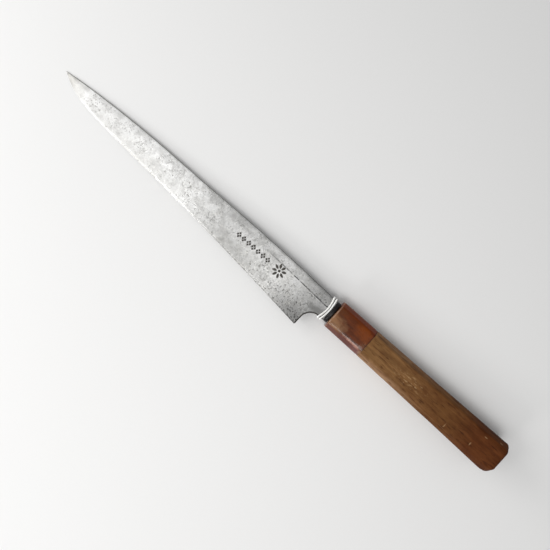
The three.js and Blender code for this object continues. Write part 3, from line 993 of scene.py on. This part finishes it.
def build_ferrule():
    steps = 12
    rings = []
    for i in range(steps + 1):
        x = -FERRULE_LENGTH + (FERRULE_LENGTH - FERRULE_CHAMFER) * i / steps
        worn_to = FERRULE_SEAM_X + SEAM_WEAR_LENGTH
        worn = FERRULE_SEAM_WEAR * (1 - smooth(x, FERRULE_SEAM_X, worn_to))
        rings.append([(x, y, z) for y, z in octagon(x, worn, FERRULE_CORNER)])
    round_steps = 4
    for i in range(1, round_steps + 1):
        angle = math.pi / 2 * i / round_steps
        x = -FERRULE_CHAMFER * (1 - math.sin(angle))
        inset = FERRULE_CHAMFER * (1 - math.cos(angle))
        rings.append([(x, y, z) for y, z in octagon(x, inset, FERRULE_CORNER)])
    ferrule = mesh_object("ferrule_horn", *skin(rings))
    bore_radius, _, bore_front = core_bore()
    boolean(ferrule, bar_shape(bore_radius, FERRULE_SEAM_X - OVERCUT, bore_front), "DIFFERENCE")
    seal_low, seal_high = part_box("mouth_seal")
    half_y = (seal_high[1] - seal_low[1]) / 2 / MM + FIT_GAP
    half_z = (seal_high[2] - seal_low[2]) / 2 / MM + FIT_GAP
    mouth = box_shape(bore_front - OVERCUT, OVERCUT, -half_y, half_y, -half_z, half_z)
    boolean(ferrule, mouth, "DIFFERENCE")
    shade(ferrule, angle=40)
    finish_piece(ferrule, "ferrule", amber_horn_material())


def wood_dent(x, y, z):
    """How far years of use have pushed the wood out or in, in millimetres."""
    return 0.1 * wobble(x, y, z, 14, 2.2) + 0.035 * wobble(x, y, z, 4, 7.9)


def build_handle_body():
    front = -FERRULE_LENGTH - SEAM_GAP
    straight_end = BUTT_X + BUTT_ROUND
    steps = 54
    stations = [(lerp(front, straight_end, i / steps), 0.0) for i in range(steps + 1)]
    round_steps = 9
    for i in range(1, round_steps + 1):
        angle = math.pi / 2 * i / round_steps
        x = straight_end - BUTT_ROUND * math.sin(angle)
        stations.append((x, BUTT_DRAW_IN * (1 - math.cos(angle))))
    for inset in END_FACE_INSETS:
        stations.append((BUTT_X, inset))
    rings = []
    for x, inset in reversed(stations):
        worn = BODY_SEAM_WEAR * smooth(x, front - SEAM_WEAR_LENGTH, front)
        setback = BUTT_CORNER if inset == END_FACE_INSETS[-1] else BODY_CORNER
        ring = []
        for y, z in octagon(x, inset + worn, setback):
            keep = 1 + wood_dent(x, y, z) / math.hypot(y, z) if inset == 0 else 1.0
            late = clamp((BUTT_X + BUTT_EASE_LENGTH - x) / BUTT_EASE_LENGTH)
            drawn_in = BUTT_EASE * late ** 2 * smooth(y, *BUTT_EASE_Y)
            ring.append((x, y * keep - drawn_in, z * keep))
        rings.append(ring)
    body = mesh_object("handle_grip", *skin(rings))
    bore_radius, bore_end, _ = core_bore()
    boolean(body, bar_shape(bore_radius, bore_end, front + OVERCUT), "DIFFERENCE")
    tang_hole = bar_shape(TANG_HOLE_RADIUS, TANG_HOLE_END_X, bore_end + OVERCUT, 28)
    boolean(body, tang_hole, "DIFFERENCE")
    shade(body, angle=40)
    finish_piece(body, "handle_body", handle_wood_material())


def build_collar():
    low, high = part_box("neck_collar")
    back = handle_x(low[0])
    front = handle_x(high[0])
    turn = full_turn(72)
    rings = []
    steps = 14
    for i in range(steps + 1):
        angle = math.pi * i / steps
        x = lerp(back, front, (1 - math.cos(angle)) / 2)
        inset = COLLAR_ROUND * (1 - math.sin(angle) ** 0.7)
        half_y = COLLAR_HEIGHT / 2 - inset
        half_z = COLLAR_THICK / 2 - inset
        rings.append([
            (x, COLLAR_Y + half_y * math.cos(a), half_z * math.sin(a)) for a in turn
        ])
    collar = mesh_object("collar_ring", *skin(rings))
    slot_y = TANG[0][1] / 2 + FIT_GAP
    slot_z = TANG[0][2] / 2 + FIT_GAP
    slot = box_shape(back - OVERCUT, front + OVERCUT, -slot_y, slot_y, -slot_z, slot_z)
    boolean(collar, slot, "DIFFERENCE")
    shade(collar, angle=40)
    finish_piece(collar, "neck_collar", black_horn_material())


# ---- Cord ------------------------------------------------------------------------------------

def strand_route(x, bow):
    """One strand's way round the neck, starting and ending at the knot below."""
    out = CORD_RADIUS + CORD_GAP * 0.3
    side_steps = 14
    back_y = spine_y(x)
    knot_y = back_y + KNOT_BELOW_BACK

    def bowed(y, z):
        t = clamp((y - back_y) / (NECK_UNDER_Y - back_y))
        return Vector((x - bow * math.sin(math.pi * t), y, z))

    route = [bowed(knot_y, -NECK_HALF - out)]

    def turn(corner_y, corner_z, start):
        """A quarter turn round a corner of the neck, from an angle in degrees."""
        corner_steps = 6
        for k in range(corner_steps + 1):
            angle = math.radians(start - 90 / corner_steps * k)
            route.append(bowed(corner_y + out * math.cos(angle), corner_z + out * math.sin(angle)))

    turn(back_y, -NECK_HALF, 270)
    turn(back_y, NECK_HALF, 180)
    for k in range(1, side_steps):
        route.append(bowed(lerp(back_y, NECK_UNDER_Y, k / side_steps), NECK_HALF + out))
    turn(NECK_UNDER_Y, NECK_HALF, 90)
    turn(NECK_UNDER_Y, -NECK_HALF, 0)
    for k in range(side_steps - 1, 3, -1):
        route.append(bowed(lerp(back_y, NECK_UNDER_Y, k / side_steps), -NECK_HALF - out))
    return route


def resampled(route, step):
    """Points at an even distance along a route."""
    lengths = [0.0]
    for a, b in zip(route, route[1:]):
        lengths.append(lengths[-1] + (b - a).length)
    count = max(2, round(lengths[-1] / step))
    points = []
    piece = 0
    for i in range(count + 1):
        target = lengths[-1] * i / count
        while piece < len(route) - 2 and lengths[piece + 1] < target:
            piece += 1
        share = (target - lengths[piece]) / (lengths[piece + 1] - lengths[piece])
        points.append(route[piece].lerp(route[piece + 1], share))
    return points


def rope_shape(route, radius):
    """A twisted cord of three plies along a route."""
    plies = 3
    pitch = 2.6
    circle = full_turn(7)
    points = resampled(route, CORD_STEP)
    ply_radius = radius * 0.6
    offset = radius - ply_radius
    tangents = []
    for i in range(len(points)):
        before = points[max(i - 1, 0)]
        after = points[min(i + 1, len(points) - 1)]
        tangents.append((after - before).normalized())
    side = tangents[0].orthogonal().normalized()
    frames = []
    for tangent in tangents:
        side = (side - tangent * side.dot(tangent)).normalized()
        frames.append((side.copy(), tangent.cross(side)))
    shapes = []
    for ply in range(plies):
        rings = []
        for i, (point, (a, b)) in enumerate(zip(points, frames)):
            twist = 2 * math.pi * (i * CORD_STEP / pitch + ply / plies)
            centre = point + (a * math.cos(twist) + b * math.sin(twist)) * offset
            ring = []
            for angle in circle:
                spot = centre + (a * math.cos(angle) + b * math.sin(angle)) * ply_radius
                ring.append(tuple(spot))
            rings.append(ring)
        shapes.append(skin(rings))
    return joined(shapes)


def knot_route(centre, size):
    """An overhand knot pulled flat, with two short ends."""
    route = []
    steps = 60
    start = 0.06
    for k in range(steps + 1):
        a = 2 * math.pi * (start + (1 - 2 * start) * k / steps)
        x = (math.sin(a) + 2 * math.sin(2 * a)) / 3
        y = (math.cos(a) - 2 * math.cos(2 * a)) / 3
        z = -math.sin(3 * a)
        route.append(centre + Vector((x * size[0], y * size[1], z * size[2])))
    tails = (Vector((0.3, 0.95, -0.1)), Vector((-0.4, 0.9, -0.1)))
    first = [route[0] + tails[0] * d for d in (3.2, 2.2, 1.1)]
    last = [route[-1] + tails[1] * d for d in (0.9, 1.8, 2.6)]
    return first + route + last


def build_cord():
    shapes = [rope_shape(strand_route(*strand), CORD_RADIUS) for strand in STRANDS]
    low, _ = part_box("neck_cord")
    knot_z = (low[2] - ORIGIN.z) / MM + KNOT_ABOVE_LOWEST
    centre = Vector((KNOT_X, spine_y(KNOT_X) + KNOT_BELOW_BACK, knot_z))
    shapes.append(rope_shape(knot_route(centre, KNOT_SIZE), CORD_RADIUS * 0.8))
    cord = mesh_object("cord_turns", *joined(shapes))
    fix_normals(cord)
    shade(cord, angle=60)
    finish_piece(cord, "neck_cord", cotton_material())


# ---- Hidden pieces keep their CAD shape ------------------------------------------------------

def dress_hidden_pieces():
    wood = core_wood_material()
    for name in ("core_dowel", "tang_wedge_upper", "tang_wedge_lower"):
        node = bpy.data.objects[name]
        node.data.materials.clear()
        node.data.materials.append(wood)
    seal = bpy.data.objects["mouth_seal"]
    seal.data.materials.clear()
    seal.data.materials.append(pitch_material())


# ---- Table, light and camera -----------------------------------------------------------------

class Table:
    """The table's plane: the knife lies on the blade's tip and the ferrule's lower front edge."""

    def __init__(self):
        tip = place(TIP_X, TIP_Y, -POINT_HALF)
        rest = place(-FERRULE_CHAMFER, 0, -SECTION_FRONT[1])
        slope = (tip.z - rest.z) / (tip.x - rest.x)
        self.normal = Vector((-slope, 0, 1)).normalized()
        self.slope = slope
        self.rest = rest

    def on(self, x, y):
        """The table's point under a point of the handle's frame."""
        spot = place(x, y, 0)
        spot.z = self.rest.z + self.slope * (spot.x - self.rest.x)
        return spot


# The picture: where its middle is on the table, how its up direction is turned from the knife's
# long axis, how far off the camera stands and how much of the table it sees
PICTURE_MIDDLE = (42.8, 6.5)
PICTURE_TURN = 48.1
CAMERA_DISTANCE = 0.350
CAMERA_FIELD = 0.3427
SENSOR = 36
TABLE_HALF = 3.0
LIGHT_DISTANCE = 0.8


def basis(right, up, normal):
    """A rotation whose columns are the three directions."""
    return Matrix((right, up, normal)).transposed().to_4x4()


def build_stage():
    table = Table()
    turn = math.radians(PICTURE_TURN)
    across = Vector((math.cos(turn), -math.sin(turn), 0))
    up = (across - table.normal * across.dot(table.normal)).normalized()
    right = up.cross(table.normal)
    centre = table.on(*PICTURE_MIDDLE)

    half = TABLE_HALF
    corners = [(-half, -half), (half, -half), (half, half), (-half, half)]
    mesh = bpy.data.meshes.new("table_top")
    spots = [centre + right * a + up * b for a, b in corners]
    mesh.from_pydata([tuple(p) for p in spots], [], [(0, 1, 2, 3)])
    floor = new_object("table_top", mesh)
    s = Shader("table_paper")
    tooth = s.noise(900, detail=3)
    colour = s.mix(tooth, (0.8, 0.795, 0.785), (0.82, 0.815, 0.805))
    floor.data.materials.append(s.set(Base_Color=colour, Roughness=0.75))

    camera_data = bpy.data.cameras.new("camera")
    camera_data.sensor_width = SENSOR
    camera_data.lens = SENSOR * CAMERA_DISTANCE / CAMERA_FIELD
    camera_data.clip_start = 0.01
    camera = new_object("camera", camera_data)
    eye = centre + table.normal * CAMERA_DISTANCE
    camera.matrix_world = Matrix.Translation(eye) @ basis(right, up, table.normal)
    bpy.context.scene.camera = camera

    def softbox(name, bearing, height, size, radiance):
        """A square soft light, its bearing from the picture's right and its height in degrees."""
        data = bpy.data.lights.new(name, "AREA")
        data.shape = "SQUARE"
        data.size = size
        data.energy = radiance * math.pi * size * size
        lamp = new_object(name, data)
        around = math.radians(bearing)
        above = math.radians(height)
        level = right * math.cos(around) + up * math.sin(around)
        back = (level * math.cos(above) + table.normal * math.sin(above)).normalized()
        side = table.normal.cross(back).normalized()
        spot = centre + back * LIGHT_DISTANCE
        lamp.matrix_world = Matrix.Translation(spot) @ basis(side, back.cross(side), back)

    softbox("window_light", 145, 23, 0.5, 3.6)
    softbox("side_light", 183, 45, 0.4, 3.1)
    softbox("overhead_light", 265, 70, 0.3, 7.0)
    softbox("edge_light", 228, 32, 0.2, 8)

    world = bpy.data.worlds.new("studio")
    bpy.context.scene.world = world
    world.use_nodes = True
    background = world.node_tree.nodes["Background"]
    background.inputs["Color"].default_value = (0.98, 0.99, 1.0, 1.0)
    background.inputs["Strength"].default_value = 0.33


build_blade()
build_ferrule()
build_handle_body()
build_collar()
build_cord()
dress_hidden_pieces()
build_stage()
bpy.context.scene.view_settings.view_transform = "Standard"
